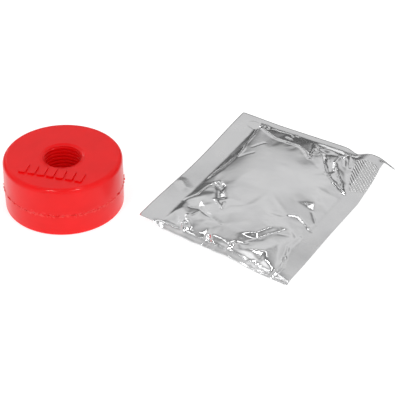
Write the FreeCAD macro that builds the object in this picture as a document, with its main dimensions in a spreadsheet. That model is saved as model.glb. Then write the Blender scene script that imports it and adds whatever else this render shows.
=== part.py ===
import FreeCAD, Part
import math
import os
import re
import Sketcher

# Watch case opening kit: a moulded friction puck that screws onto an M20 spindle, and the
# sealed foil sachet that comes with it, with a pad of friction compound inside.
# Units are millimetres, +Z is up. The origin is the centre of the puck's flat working
# face, which is also the height of the surface that the sachet lies on.

os.makedirs("parts", exist_ok=True)
doc = FreeCAD.newDocument("case_opening_friction_kit")

THREAD = "M20x2.0"  # ISO metric fine, coarse in pitch for its size, so that it moulds well

DIMENSIONS = {
    # puck
    "puck_diameter": 60.0,      # across the parting line, its widest place
    "puck_height": 27.0,
    "parting_height": 12.0,     # where the two mould halves meet
    "draft_angle": 0.8,         # degrees, both ways from the parting line
    "top_edge_radius": 2.4,
    "base_edge_radius": 1.2,
    "flash_proud": 0.12,        # the ridge of flash at the parting line
    "flash_thickness": 0.5,
    # threaded hole, and the shallow ring that the mould's core left round it
    "crest_diameter": 18.7,     # the thread's crests are moulded flat, so that they are tough
    "mouth_chamfer": 0.35,      # at the hole's mouth
    "thread_depth": 14.0,
    "thread_runout": 2.6,       # plain hole below the last full turn
    "ring_margin": 0.3,         # flat floor of the ring outside the mouth
    "ring_slope": 1.4,          # how far the ring's edge slopes outward from its floor
    "ring_depth": 0.4,
    # the row of raised blank tablets on the top face
    "tablet_count": 7,
    "tablet_length": 7.4,
    "tablet_gap": 1.0,
    "tablet_corner": 0.6,
    "tablet_proud": 0.8,
    "row_clearance": 0.2,       # between the row and the ring
    "row_end_room": 3.3,        # between the row's outer corners and the rounded top edge
    "row_turn": -16.0,          # degrees, about the hole
    # friction pad
    "pad_diameter": 43.0,
    "pad_thickness": 7.0,
    "pad_rim": 2.5,             # height of the pad's blunt rim
    # sachet, which is cut to suit the pad
    "pad_room": 3.0,            # floor beside the pad and at its near end
    "pad_far_room": 41.0,       # floor beyond the pad, because it has slid to one end
    "pillow_run": 7.5,          # how far the pillow's sloping sides reach inward
    "pillow_corner": 9.0,
    "wide_seal": 12.0,          # the flat seals along the two long edges
    "narrow_seal": 4.0,         # and along the two short edges
    "web_corner": 1.0,
    "foil_thickness": 0.12,
    "tray_depth": 4.5,          # from the seal plane down to the flat underside
    "crown_room": 4.2,          # between the pad's top and the upper foil
    "sachet_gap": 9.8,          # from the puck to the sachet's nearest corner
    "sachet_bearing": -30.6,    # degrees, the way to that corner from the puck
    "sachet_turn": -32.0,
}

# sizes that follow from the ones above
BASE_RADIUS = "(puck_diameter / 2 - parting_height * tan(draft_angle * 1 deg))"
TOP_RADIUS = "(puck_diameter / 2 - (puck_height - parting_height) * tan(draft_angle * 1 deg))"
MOUTH_RADIUS = "(crest_diameter / 2 + mouth_chamfer)"
RING_FLOOR_RADIUS = f"({MOUTH_RADIUS} + ring_margin)"
RING_RADIUS = f"({RING_FLOOR_RADIUS} + ring_slope)"
FLOOR_HEIGHT = "(puck_height - ring_depth - thread_depth - thread_runout)"
ROW_DISTANCE = f"({RING_RADIUS} + row_clearance + tablet_length / 2)"
FLAT_TOP_RADIUS = f"({TOP_RADIUS} - top_edge_radius)"
ROW_HALF_LENGTH = (f"(sqrt(({FLAT_TOP_RADIUS})^2 - ({ROW_DISTANCE} + tablet_length / 2)^2)"
                   " - row_end_room)")
TABLET_PITCH = f"((2 * {ROW_HALF_LENGTH} + tablet_gap) / tablet_count)"
CROWN_RISE = "(pad_thickness + crown_room + 2 * foil_thickness - tray_depth)"
PILLOW_WIDTH = "(pad_diameter + 2 * pad_room + 2 * pillow_run)"
PILLOW_LENGTH = "(pad_diameter + pad_room + pad_far_room + 2 * pillow_run)"
SACHET_WIDTH = f"({PILLOW_WIDTH} + 2 * wide_seal)"
SACHET_LENGTH = f"({PILLOW_LENGTH} + 2 * narrow_seal)"
CORNER_DISTANCE = "(puck_diameter / 2 + flash_proud + sachet_gap)"

sheet = doc.addObject("Spreadsheet::Sheet", "Dimensions")
for row, (name, value) in enumerate(DIMENSIONS.items(), start=1):
    sheet.set(f"A{row}", name)
    sheet.set(f"B{row}", str(value))
    sheet.setAlias(f"B{row}", name)
doc.recompute()


# ---------------------------------------------------------------- helpers

def linked(expression):
    """The same expression with each dimension's name pointing at its cell in the sheet."""
    words = re.split(r"(\w+)", str(expression))
    return "".join(f"Dimensions.{word}" if word in DIMENSIONS else word for word in words)


def value_of(expression):
    """What an expression comes to, for a sketch's first rough shape."""
    result = sheet.evalExpression(linked(expression))
    return float(getattr(result, "Value", result))


def new_body(label):
    body = doc.addObject("PartDesign::Body", label)
    body.Label = label
    return body


def new_sketch(body, role, name, **offsets):
    """A sketch on one of the body's own origin planes, moved off it by expressions."""
    plane = next(item for item in body.Origin.OriginFeatures if item.Role == role)
    sketch = body.newObject("Sketcher::SketchObject", name)
    sketch.AttachmentSupport = [(plane, "")]
    sketch.MapMode = "FlatFace"
    for axis, expression in offsets.items():
        sketch.setExpression(f"AttachmentOffset.Base.{axis}", linked(expression))
    return sketch


def dimension(sketch, name, kind, *where, to):
    """Add a driving dimension to a sketch and bind it to an expression."""
    number = sketch.addConstraint(Sketcher.Constraint(kind, *where, value_of(to)))
    sketch.renameConstraint(number, name)
    sketch.setExpression(f"Constraints.{name}", linked(to))


def closed_profile(sketch, points):
    """A closed outline of straight runs. Each point is a pair of expressions, its distances
    across and up from the origin."""
    corners = [FreeCAD.Vector(value_of(across), value_of(up), 0) for across, up in points]
    count = len(corners)
    for index in range(count):
        sketch.addGeometry(Part.LineSegment(corners[index], corners[(index + 1) % count]))
    for index in range(count):
        following = (index + 1) % count
        sketch.addConstraint(Sketcher.Constraint("Coincident", index, 2, following, 1))
    for index, (across, up) in enumerate(points):
        dimension(sketch, f"across{index}", "DistanceX", -1, 1, index, 1, to=across)
        dimension(sketch, f"up{index}", "DistanceY", -1, 1, index, 1, to=up)


def rounded_rectangle(sketch, width, length, corner):
    """A rectangle with four equal rounded corners, centred on the sketch's origin."""
    half_width, half_length, radius = value_of(width) / 2, value_of(length) / 2, value_of(corner)
    signs = [(1, 1), (-1, 1), (-1, -1), (1, -1)]
    centres = [FreeCAD.Vector(x * (half_width - radius), y * (half_length - radius), 0)
               for x, y in signs]
    arcs = [Part.ArcOfCircle(Part.Circle(centre, FreeCAD.Vector(0, 0, 1), radius),
                             math.radians(90 * index), math.radians(90 * (index + 1)))
            for index, centre in enumerate(centres)]
    # arcs are geometry 0 to 3 and the sides that join them are 4 to 7, all anticlockwise
    for arc in arcs:
        sketch.addGeometry(arc)
    for index in range(4):
        sketch.addGeometry(Part.LineSegment(arcs[index].EndPoint, arcs[(index + 1) % 4].StartPoint))
    for index in range(4):
        side, following = 4 + index, (index + 1) % 4
        sketch.addConstraint(Sketcher.Constraint("Tangent", index, 2, side, 1))
        sketch.addConstraint(Sketcher.Constraint("Tangent", side, 2, following, 1))
    for side in (4, 6):
        sketch.addConstraint(Sketcher.Constraint("Horizontal", side))
    for side in (5, 7):
        sketch.addConstraint(Sketcher.Constraint("Vertical", side))
    for arc in (1, 2, 3):
        sketch.addConstraint(Sketcher.Constraint("Equal", 0, arc))
    sketch.addConstraint(Sketcher.Constraint("Symmetric", 0, 3, 2, 3, -1, 1))
    dimension(sketch, "corner", "Radius", 0, to=corner)
    dimension(sketch, "half_width", "DistanceX", -1, 1, 7, 1, to=f"({width}) / 2")
    dimension(sketch, "half_length", "DistanceY", -1, 1, 4, 1, to=f"({length}) / 2")


def revolve(body, sketch, name, kind="PartDesign::Revolution"):
    feature = body.newObject(kind, name)
    feature.Profile = sketch
    feature.ReferenceAxis = (sketch, ["V_Axis"])
    feature.Angle = 360
    return feature


def pad(body, sketch, name, length):
    feature = body.newObject("PartDesign::Pad", name)
    feature.Profile = sketch
    feature.setExpression("Length", linked(length))
    return feature


def loft(body, sketches, name, kind):
    feature = body.newObject(kind, name)
    feature.Profile = sketches[0]
    feature.Sections = sketches[1:]
    feature.Ruled = True
    return feature


def round_edge(body, base, name, height, radius):
    """Fillet the full circle of a revolved body that lies at one height."""
    doc.recompute()
    chosen = [f"Edge{number}" for number, edge in enumerate(base.Shape.Edges, start=1)
              if isinstance(edge.Curve, Part.Circle)
              and abs(edge.Curve.Center.z - value_of(height)) < 0.01]
    feature = body.newObject("PartDesign::Fillet", name)
    feature.Base = (base, chosen)
    feature.setExpression("Radius", linked(radius))
    return feature


def place_in_sachet(body, across, along, up):
    """Bind a body's place to the sachet's own directions, from the sachet's centre."""
    across = f"({across} + {SACHET_WIDTH} / 2)"
    along = f"({along} + {SACHET_LENGTH} / 2)"
    turn, bearing = "(sachet_turn * 1 deg)", "(sachet_bearing * 1 deg)"
    places = {
        "Base.x": f"{CORNER_DISTANCE} * cos({bearing}) + {across} * cos({turn}) - {along} * sin({turn})",
        "Base.y": f"{CORNER_DISTANCE} * sin({bearing}) + {across} * sin({turn}) + {along} * cos({turn})",
        "Base.z": up,
        "Rotation.Angle": turn,
    }
    # a first small turn sets the rotation's axis, which the expression then keeps
    body.Placement = FreeCAD.Placement(FreeCAD.Vector(), FreeCAD.Rotation(FreeCAD.Vector(0, 0, 1), 1))
    for name, expression in places.items():
        body.setExpression(f"Placement.{name}", linked(expression))


# ---------------------------------------------------------------- friction puck
# One red moulding. Its side leans in both ways from the parting line, so that it leaves
# a two-part mould, and a thin ridge of flash stands where the halves meet.

def make_puck():
    body = new_body("friction_puck")

    outline = new_sketch(body, "XZ_Plane", "PuckOutline")
    closed_profile(outline, [("0", "0"), (BASE_RADIUS, "0"),
                             ("puck_diameter / 2", "parting_height"),
                             (TOP_RADIUS, "puck_height"), ("0", "puck_height")])
    blank = revolve(body, outline, "PuckBlank")
    base_rounded = round_edge(body, blank, "BaseEdge", "0", "base_edge_radius")
    round_edge(body, base_rounded, "TopEdge", "puck_height", "top_edge_radius")
    doc.recompute()

    flash = new_sketch(body, "XZ_Plane", "FlashSection")
    closed_profile(flash, [("puck_diameter / 2 - flash_proud", "parting_height - flash_thickness / 2"),
                           ("puck_diameter / 2 + flash_proud", "parting_height"),
                           ("puck_diameter / 2 - flash_proud", "parting_height + flash_thickness / 2")])
    revolve(body, flash, "PartingFlash")

    ring = new_sketch(body, "XZ_Plane", "RingSection")
    closed_profile(ring, [("0", "puck_height - ring_depth"),
                          (RING_FLOOR_RADIUS, "puck_height - ring_depth"),
                          (RING_RADIUS, "puck_height"), ("0", "puck_height")])
    revolve(body, ring, "CoreRing", "PartDesign::Groove")
    doc.recompute()

    make_tablets(body)
    make_threaded_hole(body)
    return body


def make_tablets(body):
    """A row of plain raised tablets on the top face, one tablet patterned along the row."""
    sketch = new_sketch(body, "XY_Plane", "TabletOutline", z="puck_height")
    # a first small turn sets the rotation's axis, which the expression then keeps
    sketch.AttachmentOffset = FreeCAD.Placement(
        FreeCAD.Vector(), FreeCAD.Rotation(FreeCAD.Vector(0, 0, 1), 1))
    turn = "(row_turn * 1 deg)"
    to_first = f"({TABLET_PITCH} * (tablet_count - 1) / 2)"
    sketch.setExpression("AttachmentOffset.Base.x",
                         linked(f"{ROW_DISTANCE} * sin{turn} - {to_first} * cos{turn}"))
    sketch.setExpression("AttachmentOffset.Base.y",
                         linked(f"-{ROW_DISTANCE} * cos{turn} - {to_first} * sin{turn}"))
    sketch.setExpression("AttachmentOffset.Rotation.Angle", linked(turn))
    rounded_rectangle(sketch, f"({TABLET_PITCH} - tablet_gap)", "tablet_length", "tablet_corner")
    tablet = pad(body, sketch, "Tablet", "tablet_proud")
    doc.recompute()
    row = body.newObject("PartDesign::LinearPattern", "TabletRow")
    row.Originals = [tablet]
    row.Direction = (sketch, ["H_Axis"])
    row.setExpression("Length", linked(f"{TABLET_PITCH} * (tablet_count - 1)"))
    row.setExpression("Occurrences", linked("tablet_count"))
    body.Tip = row
    doc.recompute()


def make_threaded_hole(body):
    """The blind M20 x 2 hole for the case opener's spindle, cut from the ring's floor."""
    sketch = new_sketch(body, "XY_Plane", "HoleCentre", z="puck_height - ring_depth")
    sketch.addGeometry(Part.Circle(FreeCAD.Vector(0, 0, 0), FreeCAD.Vector(0, 0, 1), 9))
    sketch.addConstraint(Sketcher.Constraint("Coincident", 0, 3, -1, 1))
    sketch.addConstraint(Sketcher.Constraint("Radius", 0, 9))
    doc.recompute()
    hole = body.newObject("PartDesign::Hole", "SpindleThread")
    hole.Profile = sketch
    doc.recompute()
    hole.ThreadType = "ISOMetricFineProfile"
    hole.ThreadSize = THREAD
    hole.Threaded = True
    hole.DepthType = "Dimension"
    hole.ThreadDepthType = "Dimension"
    hole.setExpression("Depth", linked("thread_depth + thread_runout"))
    hole.setExpression("ThreadDepth", linked("thread_depth"))
    hole.DrillPoint = "Flat"
    hole.ModelThread = True
    doc.recompute()

    # the core that moulds the thread is thicker than a drill, which leaves the crests flat
    core = new_sketch(body, "XZ_Plane", "CoreSection")
    closed_profile(core, [("0", "puck_height - ring_depth"),
                          (MOUTH_RADIUS, "puck_height - ring_depth"),
                          ("crest_diameter / 2", "puck_height - ring_depth - mouth_chamfer"),
                          ("crest_diameter / 2", FLOOR_HEIGHT), ("0", FLOOR_HEIGHT)])
    revolve(body, core, "FlatCrests", "PartDesign::Groove")
    doc.recompute()


# ---------------------------------------------------------------- sachet
# Two webs of foil laminate, each pressed into a shallow pillow half and sealed to the
# other round all four edges. The seal plane is tray_depth above the table.

def make_foil(label, rise, upward):
    """One foil web: a flat sealed border and a hollow pillow half with sloping sides."""
    body = new_body(label)
    side = 1 if upward else -1
    slope = f"atan({rise} / pillow_run)"
    # where the sloping wall's inner face meets the seal plane, and where it meets the crown
    foot_run = f"(foil_thickness / sin({slope}))"
    crown_run = f"({foot_run} + ({rise} - foil_thickness) / tan({slope}))"

    def section(name, run, height):
        sketch = new_sketch(body, "XY_Plane", name, z=f"{side} * ({height})")
        rounded_rectangle(sketch, f"({PILLOW_WIDTH} - 2 * {run})",
                          f"({PILLOW_LENGTH} - 2 * {run})", "pillow_corner")
        return sketch

    border = new_sketch(body, "XY_Plane", "Border")
    rounded_rectangle(border, SACHET_WIDTH, SACHET_LENGTH, "web_corner")
    web = pad(body, border, "Web", "foil_thickness")
    web.Reversed = not upward
    doc.recompute()
    loft(body, [section("PillowFoot", "0", "0"), section("PillowCrown", "pillow_run", rise)],
         "Pillow", "PartDesign::AdditiveLoft")
    doc.recompute()
    loft(body, [section("HollowFoot", foot_run, "0"),
                section("HollowCrown", crown_run, f"{rise} - foil_thickness")],
         "Hollow", "PartDesign::SubtractiveLoft")
    doc.recompute()
    place_in_sachet(body, "0", "0", "tray_depth")
    return body


def make_pad():
    """The pad of friction compound: a soft disc with a blunt rim and a low crown, lying on
    the sachet's underside."""
    body = new_body("friction_pad")
    section = new_sketch(body, "XZ_Plane", "PadSection")
    closed_profile(section, [("0", "0"), ("pad_diameter / 2 - pad_rim / 2", "0"),
                             ("pad_diameter / 2", "pad_rim / 2"), ("pad_diameter / 2", "pad_rim"),
                             ("pad_diameter / 3", "pad_thickness * 0.85"),
                             ("pad_diameter / 8", "pad_thickness"), ("0", "pad_thickness")])
    revolve(body, section, "PadDisc")
    doc.recompute()
    place_in_sachet(body, "0", "(pad_room - pad_far_room) / 2", "foil_thickness")
    return body


# ---------------------------------------------------------------- make, check and write

bodies = [make_puck(),
          make_foil("sachet_top_foil", CROWN_RISE, upward=True),
          make_foil("sachet_bottom_foil", "tray_depth", upward=False),
          make_pad()]
doc.recompute()

for item in doc.Objects:
    faults = {"Invalid", "Error"} & set(item.State)
    if faults:
        raise RuntimeError(f"{item.Label} is {faults}")

for body in bodies:
    shape = body.Shape
    if shape.isNull() or not shape.isValid():
        raise RuntimeError(f"{body.Label} has no valid shape")
    shape.exportStep(f"parts/{body.Label}.step")
    box = shape.BoundBox
    print(f"{body.Label}: {len(shape.Solids)} solid, {shape.Volume:.1f} mm3, "
          f"x {box.XMin:.2f} to {box.XMax:.2f}, y {box.YMin:.2f} to {box.YMax:.2f}, "
          f"z {box.ZMin:.2f} to {box.ZMax:.2f}")
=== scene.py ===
# %% [markdown]
# # A case opening friction kit
#
# The CAD frame holds the puck's exact shape, so this file gives it its finish, and it makes the
# soft pieces anew: the two crumpled foils, the pad between them and the torn flash along the
# puck's parting line.

# %% Load the frame
import math

import bpy
import numpy as np
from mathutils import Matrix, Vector, noise
from mathutils.geometry import delaunay_2d_cdt


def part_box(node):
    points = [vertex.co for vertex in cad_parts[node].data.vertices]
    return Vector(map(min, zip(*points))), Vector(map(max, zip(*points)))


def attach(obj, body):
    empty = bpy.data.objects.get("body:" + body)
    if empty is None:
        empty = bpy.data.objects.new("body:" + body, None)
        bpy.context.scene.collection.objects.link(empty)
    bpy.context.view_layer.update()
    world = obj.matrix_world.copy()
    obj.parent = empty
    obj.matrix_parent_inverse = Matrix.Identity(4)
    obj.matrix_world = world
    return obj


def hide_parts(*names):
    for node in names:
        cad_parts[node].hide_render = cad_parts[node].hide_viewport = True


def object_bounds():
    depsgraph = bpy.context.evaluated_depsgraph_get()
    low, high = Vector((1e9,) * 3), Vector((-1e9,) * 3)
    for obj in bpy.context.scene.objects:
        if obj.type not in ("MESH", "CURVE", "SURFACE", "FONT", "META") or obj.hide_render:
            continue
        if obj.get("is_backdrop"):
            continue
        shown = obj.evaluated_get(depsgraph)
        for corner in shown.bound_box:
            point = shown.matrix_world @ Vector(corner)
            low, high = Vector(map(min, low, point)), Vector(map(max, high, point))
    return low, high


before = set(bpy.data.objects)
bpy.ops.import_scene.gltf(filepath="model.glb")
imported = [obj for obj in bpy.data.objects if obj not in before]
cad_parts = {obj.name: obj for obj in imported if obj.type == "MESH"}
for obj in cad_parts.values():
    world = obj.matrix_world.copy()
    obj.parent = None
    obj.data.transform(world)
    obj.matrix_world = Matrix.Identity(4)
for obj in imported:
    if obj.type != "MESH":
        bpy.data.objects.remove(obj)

MM = 0.001
cad_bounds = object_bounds()
print("the frame holds", ", ".join(sorted(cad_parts)))

# %% [markdown]
# ## Small helpers
#
# Blender's operators act on whatever is selected, so a helper selects one object and nothing
# else. Soft shapes are easiest to sculpt as arrays of points, so two more helpers read a
# mesh's points as rows of x, y and z, and write them back.

# %% Selecting, reading and writing points

def select_only(obj):
    bpy.ops.object.select_all(action="DESELECT")
    obj.select_set(True)
    bpy.context.view_layer.objects.active = obj


def read_points(obj):
    flat = np.empty(len(obj.data.vertices) * 3)
    obj.data.vertices.foreach_get("co", flat)
    return flat.reshape(-1, 3)


def write_points(obj, rows):
    obj.data.vertices.foreach_set("co", np.ascontiguousarray(rows, float).ravel())
    obj.data.update()


def apply_modifier(obj, kind, **settings):
    """Add a modifier, set it up and apply it."""
    select_only(obj)
    modifier = obj.modifiers.new(kind.title(), kind)
    for name, value in settings.items():
        setattr(modifier, name, value)
    bpy.ops.object.modifier_apply(modifier=modifier.name)


def ease(value, low, high):
    """0 below low, 1 above high, and a smooth step between them."""
    share = np.clip((value - low) / (high - low), 0, 1)
    return share * share * (3 - 2 * share)


def rough(across, along, size, seed):
    """Smooth noise from -1 to 1 over a surface, with lumps of about the given size."""
    return np.array([noise.noise(Vector((a / size, b / size, seed)))
                     for a, b in zip(across, along)])


# %% [markdown]
# ## The sachet's own directions
#
# The sachet lies turned on the table. Its foils are simplest to shape in their own
# directions: across, from the left corner to the near one, and along, from the left corner
# to the far one. The four corners of the CAD web give both. A real sachet is never quite
# square once it has been filled and handled, so each corner is then shifted a little.

# %% Find the four corners
web_points = read_points(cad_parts["sachet_bottom_foil"])
CORNERS = {
    "left": web_points[web_points[:, 0].argmin()],
    "near": web_points[web_points[:, 1].argmin()],
    "far": web_points[web_points[:, 1].argmax()],
    "right": web_points[web_points[:, 0].argmax()],
}
WIDTH = np.linalg.norm(CORNERS["near"] - CORNERS["left"])
LENGTH = np.linalg.norm(CORNERS["far"] - CORNERS["left"])
# How far each corner is shifted, in millimetres
SHIFTS = {"left": (3.5, 0.5), "near": (0.4, -2.2), "far": (-1.2, 0.3), "right": (3.0, -0.4)}
PLACED = {name: point[:2] + np.array(SHIFTS[name]) * MM for name, point in CORNERS.items()}
SEAL_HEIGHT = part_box("sachet_bottom_foil")[1].z
print(f"the sachet is {WIDTH / MM:.1f} by {LENGTH / MM:.1f} mm,",
      f"sealed {SEAL_HEIGHT / MM:.1f} mm up")

# %% [markdown]
# ## How the sealed border lies
#
# The pillow holds the flat border off the table. Its near corner droops to the table, and the
# narrow seal along the near edge is bent down. The right corner is gathered in, and the end of
# its far seal is left over as a thin tongue that hangs to the table. Both foils follow the same
# sheet, so they stay sealed to each other.

# %% The resting sheet
WIDE_SEAL = 12.5 * MM                       # the left edge's
RIGHT_SEAL = 9.5 * MM
FAR_SEAL = 4.0 * MM
NEAR_SEAL = 3.0 * MM
GATHER_ALONG = (68, 85, 91, 101, 109)       # places along the right edge, in mm, and
GATHER_DEPTH = (0, 1.9, 2.8, 4.8, 5.6)      # how far the edge is gathered in at each, in mm
TABLE_CLEARANCE = 0.35 * MM                 # of the resting sheet's lowest point


def lay(across, along):
    """The resting sheet's x, y and z for distances across and along it, in metres."""
    flat_across = across
    tongue = ease(along, LENGTH - 2.3 * MM, LENGTH - 1.3 * MM)
    tongue *= ease(across, WIDTH - 3.6 * MM, WIDTH)
    gather = np.interp(along / MM, GATHER_ALONG, GATHER_DEPTH) * MM
    across = across - gather * (1 - tongue) * ease(across, 50 * MM, WIDTH)
    u, v = (across / WIDTH)[:, None], (along / LENGTH)[:, None]
    plan = ((1 - u) * (1 - v) * PLACED["left"] + u * (1 - v) * PLACED["near"]
            + (1 - u) * v * PLACED["far"] + u * v * PLACED["right"])
    u, v = u[:, 0], v[:, 0]
    height = np.full(len(u), SEAL_HEIGHT)
    height -= 3.4 * MM * ease(u - v, 0.55, 1.0)                      # the near corner droops
    height += 0.9 * MM * np.sin(7.0 * v + 1.0) * ease(1 - u, 0.72, 1.0)  # the left seal waves
    height += 0.7 * MM * np.sin(6.0 * v + 2.6) * ease(u, 0.75, 1.0)      # and so does the right one
    bend = 2.4 * MM * ease(NEAR_SEAL - along, 0, NEAR_SEAL)
    height -= bend * ease(flat_across, 7 * MM, 15 * MM)              # the near seal bends down
    buckle = 0.5 * MM * rough(along, across, 7 * MM, 5)
    height += buckle * ease(NEAR_SEAL * 2 - along, 0, NEAR_SEAL)     # and buckles a little
    far_edge = ease(along, LENGTH - 9 * MM, LENGTH)
    dip = np.exp(-((flat_across / MM - 68.5) / 4.5) ** 2)
    hump = np.exp(-((flat_across / MM - 79) / 4.0) ** 2)
    height -= 2.0 * MM * far_edge * dip                              # the far edge dips
    height += 0.6 * MM * far_edge * hump                             # and rises again,
    height -= 4.3 * MM * tongue                                      # and its tongue hangs down
    return np.column_stack([plan, np.maximum(height, TABLE_CLEARANCE)])


corner_heights = lay(np.array([0, WIDTH, 0, WIDTH]), np.array([0, 0, LENGTH, LENGTH]))[:, 2]
print("the left, near, far and right corners lie", np.round(corner_heights / MM, 2), "mm up")


# %% [markdown]
# ## The pillow's creases
#
# Crumpled foil is made of nearly flat facets that meet in sharp creases. So the upper foil's
# shape is given by its creases: each is a line of points, across and along the sachet and up
# from the seal, in millimetres. The facets are found between them. A full, smooth part in the
# middle is ringed by the far ridge, the folds of the slack right corner, the edge of the pad
# near the viewer, and the dimple and folds of the left corner.

# %% The creases
CREASES = {
    "pinch": [(14, 104, 0.8), (18, 97, 2.6)],
    "far ridge": [(18, 97, 2.6), (28, 92, 3.4), (34, 92, 3.7), (41, 92, 3.8), (45, 91, 3.8)],
    "cluster edge": [(45, 91, 3.8), (52, 84, 4.0), (49, 96, 3.2), (55, 90, 4.0), (65, 76, 4.3),
                     (72, 73, 3.4), (77, 73, 0.6)],
    "dark vee": [(43, 104, 0.6), (48, 92, 2.0)],
    "hollow": [(55, 97, 1.2), (65, 82, 1.6)],
    "hollow top rim": [(49, 96, 3.2), (53, 99, 2.6), (59, 99, 2.6), (64, 96, 2.9)],
    "hollow right rim": [(64, 96, 2.9), (65, 89, 3.2), (68, 83, 3.4), (74, 77, 2.2), (77, 73, 0.6)],
    "cluster tail": [(64, 96, 2.9), (67, 99, 2.3)],
    "right hollow": [(72, 86, 0.9), (76, 79, 0.5)],
    "tail foot": [(70, 97, 0.6), (71, 91, 0.5)],
    "left rise": [(15, 99, 1.9), (17, 90, 2.5), (18, 77, 2.7), (19, 71, 2.8), (18, 58, 2.7),
                  (17, 50, 2.5)],
    "left slope": [(28, 79, 3.5), (28, 60, 3.5), (28, 48, 3.3)],
    "crown": [(44, 71, 4.5), (49, 48, 4.6)],
    "right crown": [(55, 75, 4.5), (63, 49, 4.7)],
    "right slope": [(69, 64, 4.2), (71, 54, 4.0)],
    "dimple's far edge": [(18, 45, 2.4), (23, 44, 2.9), (28, 41, 3.4), (34, 32, 3.9), (36, 24, 3.5)],
    "dimple": [(23, 42, 1.1), (28, 32, 1.4)],
    "dimple's near edge": [(20, 41, 2.8), (25, 34, 2.9), (28, 28, 2.9), (32, 25, 3.2)],
    "dent": [(37, 28, 3.8), (44, 32, 4.3)],
    "dent's edge": [(41, 22, 4.3), (49, 27, 4.6), (48, 34, 4.8)],
    "corner step": [(14, 24, 0.9), (15, 27, 1.3), (17, 34, 2.0), (20, 41, 2.8)],
    "corner fold": [(20, 28, 2.8), (26, 22, 3.1), (34, 18, 3.3), (42, 14, 3.4)],
    "triangle's valley": [(19, 20, 1.1), (24, 20, 1.5), (34, 14, 2.2)],
    "triangle's ridge": [(22, 12, 2.2), (30, 9, 2.3), (37, 9, 2.8), (42, 14, 3.4)],
    "corner facet": [(14, 13, 0.9), (16, 16, 1.7), (19, 20, 1.1)],
    "loop": [(24, 4, 1.0), (23, 7, 1.6), (22, 12, 2.2)],
    "loop's foot": [(28, 5, 1.0), (34, 4, 1.0)],
    "near flank": [(40, 6, 2.4), (47, 6, 2.4)],
    "near kink": [(51, 4, 1.4), (53, 8, 3.0)],
    "pad's edge": [(53, 13, 4.0), (60, 17, 4.2), (64, 24, 4.4), (63, 33, 4.5)],
    "near valley": [(57, 10, 2.2), (61, 15, 2.0), (65, 23, 1.9), (70, 31, 1.7)],
    "near ridge": [(63, 5.5, 3.7), (69, 8, 4.3), (72.5, 16, 3.6), (74.5, 27, 1.5)],
    "last valley": [(58, 4.5, 2.2)],
    "last ridge": [(72, 5, 3.0), (76, 9, 1.6)],
    "right flank": [(66, 37, 3.7), (70, 41, 2.7), (73, 49, 1.9), (74, 57, 2.2)],
    "bright facet's foot": [(75, 36, 0.5), (77, 40, 0.3)],
    "seal crumple": [(76, 28, 0.5), (76, 21, 0.7), (77, 15, 0.3)],
}
print(len(CREASES), "creases")

# %% [markdown]
# ## Beads
#
# Where foil has been bent hardest the crease stands up as a fine bead, or sinks as a fine
# groove, about a millimetre wide. They catch the light as thin bright lines, so they are
# added after the crumpling, on the finer mesh: a line, its half width and its height, in
# millimetres.

# %% The beads and grooves
BEADS = [
    ([(16, 99), (22, 96), (26, 94), (33, 93), (40, 93), (45, 91)], 1.2, 0.75),
    ([(45, 91), (51, 85)], 1.2, 0.8),
    ([(52, 85), (49, 95)], 1.1, 0.7),
    ([(50, 96), (55, 91), (64, 79), (71, 74), (78, 72)], 1.2, 0.9),
    ([(67, 85), (74, 77), (78, 72)], 1.1, 0.7),
    ([(67, 85), (64, 90), (64, 96), (67, 98)], 1.1, 0.7),
    ([(14, 99), (16, 91), (16, 83), (18, 76), (18, 70)], 1.0, 0.35),
    ([(15, 87), (14, 76), (14, 71), (18, 70)], 0.8, -0.25),
    ([(17, 68), (17, 62), (16, 54), (15, 49)], 1.0, 0.3),
    ([(19, 69), (21, 72), (24, 75)], 1.0, -0.3),
    ([(21, 80), (25, 86)], 1.0, -0.25),
    ([(10, 102), (14, 101)], 3.6, -1.3),
    ([(16, 102), (16, 105), (19, 101)], 1.0, 0.5),
    ([(19, 41), (21, 44), (24, 42)], 1.1, 0.7),
    ([(28, 29), (32, 26), (35, 24), (34, 28)], 1.1, 0.7),
    ([(13, 23), (14, 26), (17, 30), (17, 34), (19, 42)], 1.0, -0.35),
    ([(19, 19), (24, 20), (30, 17), (41, 14)], 1.0, -0.4),
    ([(24, 13), (26, 18)], 0.9, 0.35),
    ([(25, 3), (23, 6), (24, 9), (22, 12)], 1.1, 0.5),
    ([(26, 4), (28, 6), (25, 9)], 1.0, 0.35),
    ([(51, 3), (54, 7)], 1.0, 0.45),
    ([(54, 7), (59, 9)], 1.0, -0.4),
    ([(78, 1), (79, 4), (80, 8), (78, 14)], 1.1, 0.8),
    ([(78, 14), (76, 20), (77, 25), (77, 30)], 1.0, 0.5),
    ([(65, 38), (69, 41), (75, 39), (79, 37)], 1.0, 0.35),
    ([(73, 48), (78, 43), (77, 38)], 1.0, 0.35),
    ([(33, 102), (33, 105), (35, 104)], 0.9, 0.6),
    ([(31, 99), (34, 98)], 1.0, -0.6),
    ([(64, 2), (66, 3), (68, 2), (70, 4)], 1.0, 0.5),
    ([(39, 1), (41, 3), (39, 5)], 1.2, -1.0),
    ([(3, 37), (8, 33)], 4.5, 0.7),
    ([(65, 101), (69, 92)], 0.9, 0.45),
    ([(68, 101), (72, 93)], 0.9, -0.45),
    ([(71, 101), (74, 95)], 0.9, 0.4),
    ([(14, 3.4), (37, 3.4)], 0.9, -0.35),
    ([(43, 3.4), (76, 3.4)], 0.9, -0.35),
]
print(len(BEADS), "beads and grooves")

# %% [markdown]
# ## Distances on the flat foil
#
# A bead is highest on its line and fades away beside it, so it needs to know how far each
# point is from that line. The distance is measured on the flat, uncrumpled foil.

# %% Distance to a line

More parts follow.
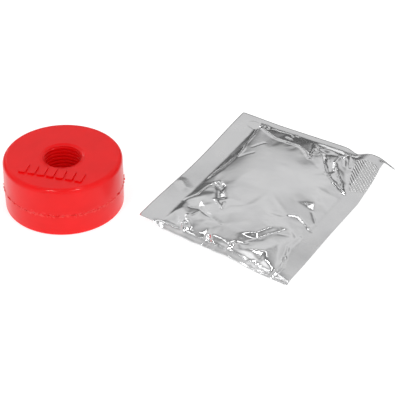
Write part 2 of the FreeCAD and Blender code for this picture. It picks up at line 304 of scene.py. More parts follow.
def distance_to(line, across, along):
    """How far each point is from a line of straight runs, whose points are in millimetres."""
    nearest = np.full(len(across), np.inf)
    for start, end in zip(line[:-1], line[1:]):
        start, end = np.array(start) * MM, np.array(end) * MM
        run = end - start
        share = ((across - start[0]) * run[0] + (along - start[1]) * run[1]) / (run @ run)
        share = np.clip(share, 0, 1)
        gap = np.hypot(across - start[0] - share * run[0], along - start[1] - share * run[1])
        nearest = np.minimum(nearest, gap)
    return nearest


# %% [markdown]
# ## From creases to facets
#
# A constrained Delaunay triangulation joins the creases' points into triangles, and keeps
# every crease as an edge. The height inside a triangle is then a plain plane.

# %% Find the facets

def border_points():
    """Points at height 0 round the open part of the foil, in millimetres."""
    low_across, high_across = WIDE_SEAL / MM, (WIDTH - RIGHT_SEAL) / MM
    low_along, high_along = NEAR_SEAL / MM, (LENGTH - FAR_SEAL) / MM
    ends = [(low_across, low_along), (high_across, low_along),
            (high_across, high_along), (low_across, high_along)]
    points = []
    for start, end in zip(ends, ends[1:] + ends[:1]):
        for step in range(8):
            points.append((start[0] + (end[0] - start[0]) * step / 8,
                           start[1] + (end[1] - start[1]) * step / 8, 0.0))
    return points


def facet_net():
    """The foil's triangles, each as three points (across, along, height) in millimetres."""
    points = border_points()
    rim = len(points)
    edges = [(index, (index + 1) % rim) for index in range(rim)]
    places = {}
    for line in CREASES.values():
        for point in line:
            if point not in places:
                places[point] = len(points)
                points.append(point)
        edges += [(places[one], places[two]) for one, two in zip(line[:-1], line[1:])]
    flat = [Vector(point[:2]) for point in points]
    corners, _, faces, sources, _, _ = delaunay_2d_cdt(flat, edges, [], 1, 1e-6)
    heights = []
    for corner, source in zip(corners, sources):
        if source:
            heights.append(points[source[0]][2])
        else:                                   # two creases cross here
            nearest = sorted(points, key=lambda point: (Vector(point[:2]) - corner).length)[:2]
            heights.append(sum(point[2] for point in nearest) / 2)
    return [[(*corners[index], heights[index]) for index in face] for face in faces]


def facet_height(across, along):
    """The height of the facets over each point, in metres."""
    height = np.zeros(len(across))
    x, y = across / MM, along / MM
    for (x0, y0, z0), (x1, y1, z1), (x2, y2, z2) in facet_net():
        area = (x1 - x0) * (y2 - y0) - (x2 - x0) * (y1 - y0)
        share1 = ((x - x0) * (y2 - y0) - (x2 - x0) * (y - y0)) / area
        share2 = ((x1 - x0) * (y - y0) - (x - x0) * (y1 - y0)) / area
        inside = (share1 >= 0) & (share2 >= 0) & (share1 + share2 <= 1)
        height[inside] = (z0 + share1 * (z1 - z0) + share2 * (z2 - z0))[inside]
    return height * MM


print(len(facet_net()), "facets")

# %% [markdown]
# ## The pad of friction compound
#
# Nothing of the pad shows through the foil but its round edge. It is a disc of soft, tacky
# compound. A disc could be spun from an outline, but a ball that is pressed flat has a smooth
# rim and no pole to close: thick in the middle, round at the rim and slumped a little.

# %% Press a ball into the pad
PAD_BLUNTNESS = 0.55                        # 1 keeps the ball's plan, and less fills out the rim
PAD_FLATNESS = 0.8                          # the same for its height
PAD_CLEARANCE = 0.15 * MM                   # from the pad's top to the upper foil
pad_low, pad_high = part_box("friction_pad")
pad_middle = (pad_low + pad_high) / 2
pad_radius = (pad_high.x - pad_low.x) / 2
pad_thickness = pad_high.z - pad_low.z
pad_base = pad_low.z + 0.3 * MM             # it rests on the lower foil, a little above the CAD's
pad_rise = pad_thickness - 0.4 * MM
bpy.ops.object.select_all(action="DESELECT")
bpy.ops.mesh.primitive_uv_sphere_add(segments=72, ring_count=36, radius=1, location=(0, 0, 0))
pad = bpy.context.active_object
pad.name = pad.data.name = "compound_pad"
ball = read_points(pad)
turn = np.arctan2(ball[:, 1], ball[:, 0])
reach = np.hypot(ball[:, 0], ball[:, 1]) ** PAD_BLUNTNESS
reach *= 1 - 0.02 * (1 + np.sin(3 * turn + 0.7)) * reach
lift = 0.5 + 0.5 * np.sign(ball[:, 2]) * np.abs(ball[:, 2]) ** PAD_FLATNESS
dimples = 1 - 0.05 * (1 + rough(ball[:, 0], ball[:, 1], 0.35, 8)) * ease(ball[:, 2], 0, 0.6)
write_points(pad, np.column_stack([
    pad_middle.x + pad_radius * reach * np.cos(turn),
    pad_middle.y + pad_radius * reach * np.sin(turn),
    pad_base + pad_rise * lift * dimples]))
select_only(pad)
bpy.ops.object.shade_smooth()
print(f"the pad is {2 * pad_radius / MM:.0f} mm across and {pad_thickness / MM:.1f} mm thick")


def over_pad(places):
    """The lowest height that clears the pad at each place."""
    share = np.hypot(places[:, 0] - pad_middle.x, places[:, 1] - pad_middle.y) / pad_radius
    share = np.clip(share, 0, 1) ** (1 / PAD_BLUNTNESS)
    top = pad_base + pad_rise * (0.5 + 0.5 * (1 - share ** 2) ** (PAD_FLATNESS / 2))
    return np.where(share < 1, top + PAD_CLEARANCE, 0)


# %% [markdown]
# ## A foil web, sculpted and then crumpled
#
# Each foil starts as a flat grid. It is laid on the resting sheet and raised to its facets.
# Then it becomes cloth for a few frames. Where the foil is slack its rest length grows, so it
# has to buckle, as real foil does when the sachet is filled and squeezed. The seals are
# pinned. Cloth behaves badly at this small a size, so the simulation runs ten times larger and
# is brought back afterwards, and how far a point may move is capped, so the facets survive.

# %% Settings of the crumpling
FOIL_STEP = 1.0 * MM
FOIL_THICKNESS = 0.1 * MM
CRUMPLE_SCALE = 10.0
CRUMPLE_FRAMES = 16
PIN_MARGIN = 0.2 * MM                       # how far inside a seal's edge the pins still reach
WEB_OFFSET = FOIL_THICKNESS / 2 + 0.01 * MM     # from the resting sheet to a web's middle


def flat_web(name, seed):
    """A flat grid with a vertex about every FOIL_STEP, each shaken a little off the grid."""
    columns, rows = round(WIDTH / FOIL_STEP), round(LENGTH / FOIL_STEP)
    bpy.ops.object.select_all(action="DESELECT")
    bpy.ops.mesh.primitive_grid_add(x_subdivisions=columns, y_subdivisions=rows, size=1)
    web = bpy.context.active_object
    web.name = web.data.name = name
    plan = read_points(web)[:, :2] + 0.5
    inner = ((plan > 0.5 / rows) & (plan < 1 - 0.5 / rows)).all(axis=1)
    shake = np.random.default_rng(seed).uniform(-0.2, 0.2, plan.shape) / [columns, rows]
    plan += shake * inner[:, None]
    across, along = plan[:, 0] * WIDTH, plan[:, 1] * LENGTH
    keep_values(web, across=across, along=along)
    return web, across, along


def keep_values(web, **values):
    """Store a number per point on the mesh, which later modifiers carry along."""
    for name, numbers in values.items():
        stored = web.data.attributes.get(name) or web.data.attributes.new(name, "FLOAT", "POINT")
        stored.data.foreach_set("value", np.ascontiguousarray(numbers, np.float32))


def stored(web, name):
    """Read back a number per point."""
    numbers = np.empty(len(web.data.vertices), np.float32)
    web.data.attributes[name].data.foreach_get("value", numbers)
    return numbers.astype(float)


def seal_distance(across, along):
    """How far each point is inside the seals, negative within a seal."""
    return np.minimum.reduce([across - WIDE_SEAL, WIDTH - RIGHT_SEAL - across,
                              along - NEAR_SEAL, LENGTH - FAR_SEAL - along])


def crumple(web, sealed, slack, push, stretch):
    """Let the web buckle as cloth. push is the pressure, and stretch the growth of its
    rest length where slack is 1."""
    write_points(web, read_points(web) * CRUMPLE_SCALE)
    pins = web.vertex_groups.new(name="sealed")
    pins.add([int(index) for index in np.nonzero(sealed)[0]], 1.0, "REPLACE")
    looseness = web.vertex_groups.new(name="slack")
    for index, weight in enumerate(slack):
        looseness.add([index], float(weight), "REPLACE")
    cloth = web.modifiers.new("Cloth", "CLOTH")
    foil = cloth.settings
    foil.quality = 7
    foil.mass = 0.3
    foil.tension_stiffness = foil.compression_stiffness = 60
    foil.shear_stiffness = 30
    foil.bending_stiffness = 0.25
    foil.vertex_group_mass = "sealed"
    foil.vertex_group_shrink = "slack"
    foil.shrink_min = 0.0
    foil.shrink_max = -stretch
    foil.use_pressure = True
    foil.uniform_pressure_force = push
    foil.effector_weights.gravity = 0
    cloth.collision_settings.use_collision = False
    cloth.point_cache.frame_end = CRUMPLE_FRAMES
    for number in range(1, CRUMPLE_FRAMES + 1):
        bpy.context.scene.frame_set(number)
    select_only(web)
    bpy.ops.object.modifier_apply(modifier="Cloth")
    web.vertex_groups.clear()
    write_points(web, read_points(web) / CRUMPLE_SCALE)


def keep_near(web, before, limit):
    """Cap how far each point moved."""
    now = read_points(web)
    move = now - before
    length = np.linalg.norm(move, axis=1, keepdims=True)
    write_points(web, before + move * np.minimum(1, limit / np.maximum(length, 1e-9)))
    print(f"{web.name} moved by up to {length.max() / MM:.1f} mm, capped at {limit / MM:.1f} mm")


# %% [markdown]
# ## The upper foil
#
# The upper foil is the one that shows. Its middle is smooth and nearly full, so it gets
# little slack, and the corners and the places beside the seals get most.

# %% Sculpt and crumple the upper foil
SLACK_SPOTS = [(66, 92, 14, 1.0), (22, 22, 13, 0.9), (62, 6, 15, 0.9), (76, 30, 9, 0.9),
               (16, 84, 8, 0.4), (32, 100, 8, 0.2)]


def upper_slack(across, along):
    """Where the upper foil is slack, from 0 to 1: a little everywhere, more in some spots."""
    slack = np.full(len(across), 0.06)
    for spot_across, spot_along, reach, amount in SLACK_SPOTS:
        gap = np.hypot(across / MM - spot_across, along / MM - spot_along)
        slack = np.maximum(slack, amount * ease(-gap, -reach, -reach / 3))
    return slack * (0.6 + 0.4 * rough(across, along, 6 * MM, 11))


upper_foil, across, along = flat_web("upper_foil", seed=4)
shape = lay(across, along)
shape[:, 2] += WEB_OFFSET + facet_height(across, along)
write_points(upper_foil, shape)
sealed = seal_distance(across, along) < PIN_MARGIN
crumple(upper_foil, sealed, upper_slack(across, along), push=0.3, stretch=0.07)
keep_near(upper_foil, shape, limit=0.8 * MM)

# %% [markdown]
# ## The lower foil
#
# The lower foil is pressed flat by the table and rises to the seals round it. It is
# crumpled too, with fewer and wider folds, because the table irons it out.

# %% Sculpt and crumple the lower foil

def lower_drop(across, along, height):
    """How far the lower foil hangs below the resting sheet, down to the table."""
    inner = seal_distance(across, along)
    hang = ease(inner, 0, 9 * MM) * (height - 0.25 * MM)
    hang -= 0.7 * MM * np.abs(rough(across, along, 8 * MM, 21)) * ease(inner, 0, 6 * MM)
    return np.clip(hang, 0, None)


lower_foil, across, along = flat_web("lower_foil", seed=9)
shape = lay(across, along)
shape[:, 2] -= WEB_OFFSET + lower_drop(across, along, shape[:, 2])
write_points(lower_foil, shape)
sealed = seal_distance(across, along) < PIN_MARGIN
crumple(lower_foil, sealed, np.full(len(across), 0.6), push=-0.6, stretch=0.06)
keep_near(lower_foil, shape, limit=2.0 * MM)

# %% [markdown]
# ## Finishing a foil
#
# One subdivision rounds each fold to the small radius that foil laminate takes. The beads
# are raised on that finer mesh. The crimped hatch of the right corner needs a finer one still,
# so its faces are cut again before its ribs are pressed in. Then the foil is kept off the pad
# and the table, and Solidify gives the web its tenth of a millimetre.

# %% Beads, hatch and thickness
HATCH = [(73.5, 102), (80, 104), (87.6, 100), (87.6, 78), (80, 75), (76, 84), (74, 92)]
HATCH_PITCH = 1.5 * MM
HATCH_DEPTH = 0.22 * MM
HATCH_ACROSS, HATCH_ALONG = 0.73, 0.684      # the direction from rib to rib
FOIL_CLEARANCE = 0.12 * MM                   # the lowest that a web's middle may lie


def inside_outline(outline, across, along):
    """Which points lie inside a closed outline in millimetres."""
    inside = np.zeros(len(across), bool)
    for start, end in zip(outline, outline[1:] + outline[:1]):
        (x0, y0), (x1, y1) = np.array(start) * MM, np.array(end) * MM
        if y0 != y1:
            crosses = (y0 > along) != (y1 > along)
            inside ^= crosses & (across < x0 + (along - y0) * (x1 - x0) / (y1 - y0))
    return inside


def refine(web, chosen):
    """Cut the faces whose corners are all chosen into smaller ones."""
    select_only(web)
    bpy.ops.object.mode_set(mode="EDIT")
    bpy.ops.mesh.select_mode(type="FACE")
    bpy.ops.mesh.select_all(action="DESELECT")
    bpy.ops.object.mode_set(mode="OBJECT")
    for face in web.data.polygons:
        face.select = all(chosen[index] for index in face.vertices)
    bpy.ops.object.mode_set(mode="EDIT")
    bpy.ops.mesh.subdivide(number_cuts=2)
    bpy.ops.object.mode_set(mode="OBJECT")


for web in (upper_foil, lower_foil):
    apply_modifier(web, "SUBSURF", levels=1, render_levels=1)
refine(upper_foil, inside_outline(HATCH, stored(upper_foil, "across"), stored(upper_foil, "along")))

across, along = stored(upper_foil, "across"), stored(upper_foil, "along")
points = read_points(upper_foil)
for line, width, height in BEADS:
    share = np.clip(1 - distance_to(line, across, along) / (width * MM), 0, 1)
    points[:, 2] += height * MM * share ** 1.3
ribs = np.sin(2 * math.pi / HATCH_PITCH * (HATCH_ACROSS * across + HATCH_ALONG * along))
ribs *= inside_outline(HATCH, across, along)
points[:, 2] += HATCH_DEPTH * ribs
keep_values(upper_foil, ribs=ribs)
keep_values(lower_foil, ribs=np.zeros(len(lower_foil.data.vertices)))
points[:, 2] = np.maximum(points[:, 2], over_pad(points))
write_points(upper_foil, points)

for web in (upper_foil, lower_foil):
    points = read_points(web)
    points[:, 2] = np.maximum(points[:, 2], FOIL_CLEARANCE)
    write_points(web, points)
    inner = seal_distance(stored(web, "across"), stored(web, "along"))
    keep_values(web, seal=ease(-inner, -0.5 * MM, 0.5 * MM))
    apply_modifier(web, "SOLIDIFY", thickness=FOIL_THICKNESS, offset=0.0)
    select_only(web)
    bpy.ops.object.shade_smooth()
    print(web.name, len(web.data.polygons), "faces")

# %% [markdown]
# ## The torn flash on the parting line
#
# The puck is cast in a two-part mould, and a little polyurethane creeps into the joint. When
# the puck is pulled out the film tears, and a ragged lip stays behind. It starts as a ring
# of edges, is extruded outwards and made ragged, and then most of it is torn away in short
# runs. A bare ring has no faces, so it can only be selected in edge mode.

# %% Make the ragged lip
puck_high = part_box("friction_puck")[1]
PARTING_HEIGHT = 12.0 * MM
LIP_ROOT = puck_high.x - 0.15 * MM          # just inside the puck's side
LIP_REACH = 0.5 * MM
LIP_STEPS = 720
LIP_THICKNESS = 0.28 * MM
TORN_BELOW = 0.12                           # the lip is torn away where the noise is below this

bpy.ops.object.select_all(action="DESELECT")
bpy.ops.mesh.primitive_circle_add(vertices=LIP_STEPS, radius=LIP_ROOT,
                                  location=(0, 0, PARTING_HEIGHT))
lip = bpy.context.active_object
lip.name = lip.data.name = "torn_flash"
bpy.ops.object.transform_apply(location=True, rotation=True, scale=True)
bpy.ops.object.mode_set(mode="EDIT")
bpy.ops.mesh.select_mode(type="EDGE")
bpy.ops.mesh.select_all(action="SELECT")
for _ in range(2):
    bpy.ops.mesh.extrude_region_move()
    growth = 1 + LIP_REACH / 2 / puck_high.x
    bpy.ops.transform.resize(value=(growth, growth, 1))
bpy.ops.object.mode_set(mode="OBJECT")

points = read_points(lip)
turn = np.arctan2(points[:, 1], points[:, 0])
radius = np.hypot(points[:, 0], points[:, 1])
out = ease(radius, LIP_ROOT, LIP_ROOT + LIP_REACH)
ragged = rough(60 * np.cos(turn), 60 * np.sin(turn), 2.2, 3)
waves = rough(60 * np.cos(turn), 60 * np.sin(turn), 9.0, 14)
radius += out * (0.75 * ragged + 0.35 * waves) * LIP_REACH
points[:, 0], points[:, 1] = radius * np.cos(turn), radius * np.sin(turn)
points[:, 2] += (0.22 * waves + 0.3 * ragged * out) * MM
write_points(lip, points)

select_only(lip)
bpy.ops.object.mode_set(mode="EDIT")
bpy.ops.mesh.select_mode(type="FACE")
bpy.ops.mesh.select_all(action="DESELECT")
bpy.ops.object.mode_set(mode="OBJECT")
for face in lip.data.polygons:
    angle = math.atan2(face.center.y, face.center.x)
    torn = noise.noise(Vector((26 * math.cos(angle), 26 * math.sin(angle), 2.5)))
    face.select = torn < TORN_BELOW
bpy.ops.object.mode_set(mode="EDIT")
bpy.ops.mesh.delete(type="FACE")
bpy.ops.object.mode_set(mode="OBJECT")
apply_modifier(lip, "SOLIDIFY", thickness=LIP_THICKNESS, offset=0.0)
apply_modifier(lip, "SUBSURF", levels=1, render_levels=1)
bpy.ops.object.shade_smooth()
print("the lip has", len(lip.data.polygons), "faces")

# %% [markdown]
# ## Shared finishes
#
# Two effects are used by more than one material, so each is a node group: a fine grain, which
# gives a height for bump and a slow mottle for colour, and scuffs, which are sparse short
# marks. Each takes coordinates in metres, so its sizes are real sizes.

# %% Node helpers

def put(tree, kind, links=(), **settings):
    """Add a node, set its properties and inputs, and link others' outputs into it."""
    node = tree.nodes.new(kind)
    for name, value in settings.items():
        setattr(node, name, value)
    for name, source in dict(links).items():
        if isinstance(source, bpy.types.NodeSocket):
            tree.links.new(source, node.inputs[name])
        else:
            node.inputs[name].default_value = source
    return node


def new_group(name, inputs, outputs):
    """A shader node group with those float or vector sockets. Returns it and its two ends."""
    tree = bpy.data.node_groups.new(name, "ShaderNodeTree")
    for in_out, sockets in (("INPUT", inputs), ("OUTPUT", outputs)):
        for label, kind, default in sockets:
            socket = tree.interface.new_socket(label, in_out=in_out,
                                               socket_type=f"NodeSocket{kind}")
            if default is not None:
                socket.default_value = default
    return tree, tree.nodes.new("NodeGroupInput"), tree.nodes.new("NodeGroupOutput")


def noise_node(tree, vector, size, detail=3.0, roughness=0.5):
    """Noise with lumps of about the given size in metres."""
    return put(tree, "ShaderNodeTexNoise",
               {"Vector": vector, "Scale": 1 / size, "Detail": detail, "Roughness": roughness})


def remap(tree, value, low, high, to_low=0.0, to_high=1.0):
    """Turn low..high into to_low..to_high, clamped."""
    node = put(tree, "ShaderNodeMapRange", {"Value": value, "From Min": low, "From Max": high,
                                            "To Min": to_low, "To Max": to_high})
    return node.outputs["Result"]


def calculate(tree, operation, first, second=0.0):
    """One Math node."""
    node = tree.nodes.new("ShaderNodeMath")
    node.operation = operation
    for socket, source in zip(node.inputs, (first, second)):
        if isinstance(source, bpy.types.NodeSocket):
            tree.links.new(source, socket)
        else:
            socket.default_value = source
    return node.outputs["Value"]


# %% The grain group
GRAIN, grain_in, grain_out = new_group(
    "Fine grain",
    [("Vector", "Vector", None), ("Fineness", "Float", 1.0)],
    [("Height", "Float", None), ("Mottle", "Float", None)])
spread = put(GRAIN, "ShaderNodeVectorMath", operation="SCALE")
GRAIN.links.new(grain_in.outputs["Vector"], spread.inputs[0])
GRAIN.links.new(grain_in.outputs["Fineness"], spread.inputs["Scale"])
tiny = noise_node(GRAIN, spread.outputs[0], 0.35 * MM, detail=4).outputs[0]
small = noise_node(GRAIN, spread.outputs[0], 1.6 * MM, detail=2).outputs[0]
slow = noise_node(GRAIN, spread.outputs[0], 11 * MM, detail=2).outputs[0]
height = calculate(GRAIN, "ADD", calculate(GRAIN, "MULTIPLY", tiny, 0.55),
                   calculate(GRAIN, "MULTIPLY", small, 0.45))
GRAIN.links.new(height, grain_out.inputs["Height"])
GRAIN.links.new(remap(GRAIN, slow, 0.3, 0.7), grain_out.inputs["Mottle"])

# %% The scuff group
SCUFF, scuff_in, scuff_out = new_group(
    "Scuffs",
    [("Vector", "Vector", None), ("Amount", "Float", 0.5)],
    [("Mask", "Float", None)])
bent = noise_node(SCUFF, scuff_in.outputs["Vector"], 4 * MM, detail=2)
shift = put(SCUFF, "ShaderNodeVectorMath", operation="SCALE")
SCUFF.links.new(bent.outputs["Color"], shift.inputs[0])
shift.inputs["Scale"].default_value = 3 * MM
moved = put(SCUFF, "ShaderNodeVectorMath", operation="ADD")
SCUFF.links.new(scuff_in.outputs["Vector"], moved.inputs[0])
SCUFF.links.new(shift.outputs[0], moved.inputs[1])
marks = noise_node(SCUFF, moved.outputs[0], 1.1 * MM, detail=3, roughness=0.6).outputs[0]
edge = calculate(SCUFF, "SUBTRACT", 0.72,
                 calculate(SCUFF, "MULTIPLY", scuff_in.outputs["Amount"], 0.22))
above = calculate(SCUFF, "SUBTRACT", marks, edge)
SCUFF.links.new(remap(SCUFF, above, 0.0, 0.06), scuff_out.inputs["Mask"])
print("groups:", GRAIN.name, "and", SCUFF.name)


# %% A material with its Principled shader

def new_material(name, **sockets):
    """A node material. Returns it, its tree and its Principled shader, with sockets set."""
    material = bpy.data.materials.new(name)
    material.use_nodes = True
    shader = material.node_tree.nodes["Principled BSDF"]
    for label, value in sockets.items():
        shader.inputs[label.replace("_", " ")].default_value = value
    return material, material.node_tree, shader


def use_group(tree, group, **inputs):
    """Place a shared group in a material."""
    node = tree.nodes.new("ShaderNodeGroup")
    node.node_tree = group
    for label, source in inputs.items():
        if isinstance(source, bpy.types.NodeSocket):
            tree.links.new(source, node.inputs[label])
        else:
            node.inputs[label].default_value = source
    return node


def mix_colours(tree, factor, first, second):
    """One colour Mix node."""
    node = put(tree, "ShaderNodeMix", data_type="RGBA")
    for index, source in ((0, factor), (6, first), (7, second)):
        if isinstance(source, bpy.types.NodeSocket):
            tree.links.new(source, node.inputs[index])
        else:
            node.inputs[index].default_value = source
    return node.outputs[2]


def bump(tree, shader, height, strength, distance):
    """Bump from a height, into the shader's normal."""
    node = put(tree, "ShaderNodeBump",
               {"Height": height, "Strength": strength, "Distance": distance})
    tree.links.new(node.outputs["Normal"], shader.inputs["Normal"])


# %% [markdown]
# ## Red polyurethane
#
# The puck is cast from solid red polyurethane. It is satin, a little waxy, and lets some
# light in, so its shadows stay red. The mould was sanded rather than polished, which leaves a
# fine grain, and the side is scuffed near the parting line, where the flash was pulled off.

# %% Red polyurethane
SIDE_RADII = (28.6 * MM, 29.0 * MM)         # where the top's rounded edge becomes the side
SCUFF_BAND = (2.6 * MM, 0.3 * MM)           # off the parting line: no scuffs, and most scuffs

red, tree, shader = new_material(
    "red_polyurethane", Roughness=0.32, Specular_IOR_Level=0.10, Coat_Weight=0.4,
    Coat_Roughness=0.13, Subsurface_Weight=0.5,
    Subsurface_Radius=(1.0, 0.12, 0.08), Subsurface_Scale=4 * MM)
place = put(tree, "ShaderNodeTexCoord").outputs["Object"]
grain = use_group(tree, GRAIN, Vector=place, Fineness=1.0)
parts = put(tree, "ShaderNodeSeparateXYZ", {"Vector": place})
off_line = calculate(tree, "ABSOLUTE",
                     calculate(tree, "SUBTRACT", parts.outputs["Z"], PARTING_HEIGHT))
reach = calculate(tree, "SQRT", calculate(
    tree, "ADD", calculate(tree, "MULTIPLY", parts.outputs["X"], parts.outputs["X"]),
    calculate(tree, "MULTIPLY", parts.outputs["Y"], parts.outputs["Y"])))
on_side = remap(tree, reach, *SIDE_RADII)
near_line = calculate(tree, "MULTIPLY", on_side, remap(tree, off_line, *SCUFF_BAND))
scuffs_and_shaded_pits = use_group(tree, SCUFF, Vector=place, Amount=calculate(tree, "ADD", near_line, 0.15))
scuffed = calculate(tree, "MULTIPLY", scuffs_and_shaded_pits.outputs["Mask"], near_line)
plain = mix_colours(tree, grain.outputs["Mottle"], (0.84, 0.003, 0.004, 1), (0.90, 0.005, 0.006, 1))
worn = mix_colours(tree, calculate(tree, "MULTIPLY", scuffed, 0.55), plain, (0.98, 0.10, 0.09, 1))
tree.links.new(worn, shader.inputs["Base Color"])
tree.links.new(calculate(tree, "ADD", remap(tree, grain.outputs["Mottle"], 0, 1, 0.28, 0.34),
                         calculate(tree, "MULTIPLY", scuffed, 0.15)), shader.inputs["Roughness"])
relief = calculate(tree, "ADD", calculate(tree, "MULTIPLY", grain.outputs["Height"], 0.3),
                   calculate(tree, "MULTIPLY", scuffed, -1.0))
bump(tree, shader, relief, 0.5, 0.12 * MM)
print(red.name, "has", len(tree.nodes), "nodes")

# %% [markdown]
# ## Foil laminate
#
# The sachet's webs are aluminium foil under a clear film: a bright metal with a thin gloss
# over it. Rolling leaves the foil a fine, cloudy grain, and the heat seal presses a
# close rib into the border, which makes the border duller than the pillow. The coarser ribs of
# the right corner are real shape. Their colour is also painted from their height: painted shade,
# near black, in the grooves, and a painted highlight, near white, on the tops.

# %% Foil laminate
SEAL_RIB_PITCH = 0.8 * MM

foil_paint, tree, shader = new_material(
    "foil_laminate", Metallic=1.0, Coat_Weight=0.25, Coat_Roughness=0.08, Coat_IOR=1.5)
flat_place = put(tree, "ShaderNodeCombineXYZ", {
    "X": put(tree, "ShaderNodeAttribute", attribute_name="across").outputs["Fac"],
    "Y": put(tree, "ShaderNodeAttribute", attribute_name="along").outputs["Fac"]}).outputs["Vector"]
seal = put(tree, "ShaderNodeAttribute", attribute_name="seal").outputs["Fac"]
grain = use_group(tree, GRAIN, Vector=flat_place, Fineness=0.9)
colour = mix_colours(tree, grain.outputs["Mottle"], (0.78, 0.78, 0.79, 1), (0.86, 0.86, 0.865, 1))
rib_height = put(tree, "ShaderNodeAttribute", attribute_name="ribs").outputs["Fac"]
# Painted shade in the hatch's grooves and a painted highlight on its rib tops, both read from the
# rib height
colour = mix_colours(tree, remap(tree, rib_height, -0.1, -0.9), colour, (0.16, 0.16, 0.165, 1))
colour = mix_colours(tree, remap(tree, rib_height, 0.1, 0.8), colour, (0.97, 0.97, 0.97, 1))
tree.links.new(colour, shader.inputs["Base Color"])
dull = calculate(tree, "ADD", remap(tree, grain.outputs["Mottle"], 0, 1, 0.12, 0.18),
                 calculate(tree, "MULTIPLY", seal, 0.10))
tree.links.new(dull, shader.inputs["Roughness"])
flat_parts = put(tree, "ShaderNodeSeparateXYZ", {"Vector": flat_place})
ribs = calculate(tree, "SINE", calculate(tree, "MULTIPLY", flat_parts.outputs["X"],
                                         2 * math.pi / SEAL_RIB_PITCH))
pressed = calculate(tree, "MULTIPLY", calculate(tree, "MULTIPLY", ribs, 0.025), seal)
wrinkles = noise_node(tree, flat_place, 5 * MM, detail=4, roughness=0.55).outputs[0]
relief = calculate(tree, "ADD", calculate(tree, "MULTIPLY", grain.outputs["Height"], 0.10),
                   calculate(tree, "ADD", pressed, calculate(tree, "MULTIPLY", wrinkles, 0.35)))
bump(tree, shader, relief, 0.35, 0.35 * MM)
print(foil_paint.name, "has", len(tree.nodes), "nodes")

# %% [markdown]
# ## Friction compound
# The pad inside the sachet is soft and tacky. It is a duller, paler red than the puck and
# has no gloss, with small pits where air was trapped. The pits are sunk by bump and also painted
# darker, as painted shade.

# %% Friction compound
compound, tree, shader = new_material(
    "friction_compound", Roughness=0.75, Subsurface_Weight=0.1, Subsurface_Scale=2 * MM)
place = put(tree, "ShaderNodeTexCoord").outputs["Object"]
grain = use_group(tree, GRAIN, Vector=place, Fineness=0.6)
scuffs_and_shaded_pits = use_group(tree, SCUFF, Vector=place, Amount=0.6)
colour = mix_colours(tree, grain.outputs["Mottle"], (0.62, 0.17, 0.13, 1), (0.75, 0.25, 0.20, 1))
# The pits' darker colour is painted shade
tree.links.new(mix_colours(tree, scuffs_and_shaded_pits.outputs["Mask"], colour, (0.5, 0.12, 0.10, 1)),
               shader.inputs["Base Color"])
relief = calculate(tree, "SUBTRACT", grain.outputs["Height"],
                   calculate(tree, "MULTIPLY", scuffs_and_shaded_pits.outputs["Mask"], 0.8))
bump(tree, shader, relief, 0.5, 0.3 * MM)
print(compound.name, "has", len(tree.nodes), "nodes")

# %% Put the materials on
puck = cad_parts["friction_puck"]
for piece, material in ((puck, red), (lip, red), (upper_foil, foil_paint),
                        (lower_foil, foil_paint), (pad, compound)):
    piece.data.materials.clear()
    piece.data.materials.append(material)
print([material.name for material in bpy.data.materials if material.users])

# %% [markdown]
# ## What rides on what
#
# The torn flash belongs to the puck. The foils and the pad are lifted together, as the
# sachet, and stand for the three CAD solids that the sachet has.

# %% Tell the frame about the pieces
for piece, body, slot in ((lip, "puck", "red_polyurethane"),
                          (upper_foil, "sachet", "foil_laminate"),
                          (lower_foil, "sachet", "foil_laminate"),
                          (pad, "sachet", "friction_compound")):
    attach(piece, body)
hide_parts("sachet_top_foil")
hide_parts("sachet_bottom_foil")
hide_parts("friction_pad")

# %% [markdown]
# ## Floor, light and camera
#
# Both things lie on a white table in a light tent, which is dim overhead. Its back is dark at
# the horizon and brightest above half way up, and its front is brightest at a third of the way
# up. Foil is a mirror, so these levels are what gives it its light fields and dark bands. Two
# small soft boxes and two strips put the highlights on its creases and on the puck. The camera
# sees plain white behind the table and not the tent itself, and the table glows a little, so
# it stays white and its shadows stay faint.

# %% The white floor
bpy.ops.object.select_all(action="DESELECT")
bpy.ops.mesh.primitive_plane_add(size=8, location=(0, 0, -0.05 * MM))
floor = bpy.context.active_object
floor.name = floor.data.name = "studio_floor"
white, tree, shader = new_material("white_floor", Roughness=0.9, Specular_IOR_Level=0.1,
                                   Base_Color=(0.45, 0.45, 0.45, 1))
shader.inputs["Emission Color"].default_value = (1, 1, 1, 1)
shader.inputs["Emission Strength"].default_value = 0.74
floor.data.materials.append(white)
floor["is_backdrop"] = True

# %% The light tent
TENT_BLEND = 0.25                           # how far from the middle its front and back blend
BACK_LEVELS = ((0.0, 0.09), (0.24, 0.14), (0.36, 0.36), (0.46, 0.60), (0.58, 0.76), (0.78, 0.62),
               (0.90, 0.28), (1.0, 0.20))
FRONT_LEVELS = ((0.0, 0.45), (0.18, 0.55), (0.34, 1.20), (0.50, 0.95), (0.66, 0.50), (0.82, 0.22),
                (1.0, 0.20))


def light_ramp(tree, up, stops):
    """A grey ramp from the horizon, 0, to straight up, 1."""
    ramp = put(tree, "ShaderNodeValToRGB", {"Fac": up})
    while len(ramp.color_ramp.elements) < len(stops):
        ramp.color_ramp.elements.new(0.5)
    for element, (place, level) in zip(ramp.color_ramp.elements, stops):
        element.position = place
        element.color = (level, level, level, 1)
    return ramp.outputs["Color"]


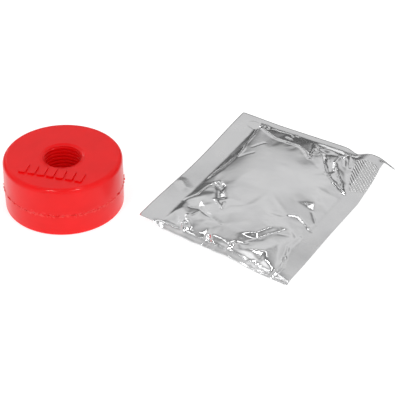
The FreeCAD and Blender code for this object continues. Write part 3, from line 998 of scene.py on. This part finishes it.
world = bpy.data.worlds.new("light_tent")
world.use_nodes = True
bpy.context.scene.world = world
tree = world.node_tree
tree.nodes.clear()
parts = put(tree, "ShaderNodeSeparateXYZ",
            {"Vector": put(tree, "ShaderNodeTexCoord").outputs["Generated"]})
front = remap(tree, parts.outputs["Y"], TENT_BLEND, -TENT_BLEND)
level = mix_colours(tree, front, light_ramp(tree, parts.outputs["Z"], BACK_LEVELS),
                    light_ramp(tree, parts.outputs["Z"], FRONT_LEVELS))
seen = put(tree, "ShaderNodeLightPath").outputs["Is Camera Ray"]
shown = mix_colours(tree, seen, level, (1, 1, 1, 1))
background = put(tree, "ShaderNodeBackground", {"Color": shown})
output = tree.nodes.new("ShaderNodeOutputWorld")
tree.links.new(background.outputs[0], output.inputs["Surface"])

# %% Soft boxes
BOX_DISTANCE = 1.5


def soft_box(name, direction, width, height, brightness):
    """An area light that looks at the middle of the object from a direction."""
    direction = Vector(direction).normalized()
    bpy.ops.object.light_add(type="AREA", location=middle + direction * BOX_DISTANCE)
    box = bpy.context.active_object
    box.name = name
    box.data.shape = "RECTANGLE"
    box.data.size, box.data.size_y = width, height
    box.data.energy = brightness * math.pi * width * height
    box.rotation_euler = (-direction).to_track_quat("-Z", "Y").to_euler()


middle = sum((Vector(corner) for corner in cad_bounds), Vector()) / 2
soft_box("left_box", (-0.28, -0.39, 0.88), 0.19, 0.19, 34.0)
soft_box("right_box", (0.28, -0.39, 0.88), 0.19, 0.19, 34.0)
soft_box("top_strip", (0, 0.17, 0.98), 1.5, 0.10, 4.0)
soft_box("side_strip", (-0.47, 0.81, 0.36), 0.09, 0.6, 3.0)

# %% The camera
EYE = Vector((68.2, -653.8, 478.3)) * MM
AIM = Vector((68.25, -0.03, 0.0)) * MM
bpy.ops.object.camera_add(location=EYE)
camera = bpy.context.active_object
camera.data.lens = 144
camera.data.sensor_width = 36
camera.rotation_euler = (AIM - EYE).to_track_quat("-Z", "Y").to_euler()
bpy.context.scene.camera = camera
bpy.context.scene.view_settings.view_transform = "Standard"
print(f"the camera is {(EYE - AIM).length / MM:.0f} mm from what it looks at")

# %% [markdown]
# ## Sizes
#
# Both boxes, the CAD's and the finished scene's, are printed.

# %% Print both boxes
visual_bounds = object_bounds()
for label, (low, high) in (("CAD", cad_bounds), ("visual", visual_bounds)):
    print(label, [round(value / MM, 2) for value in (*low, *high)])
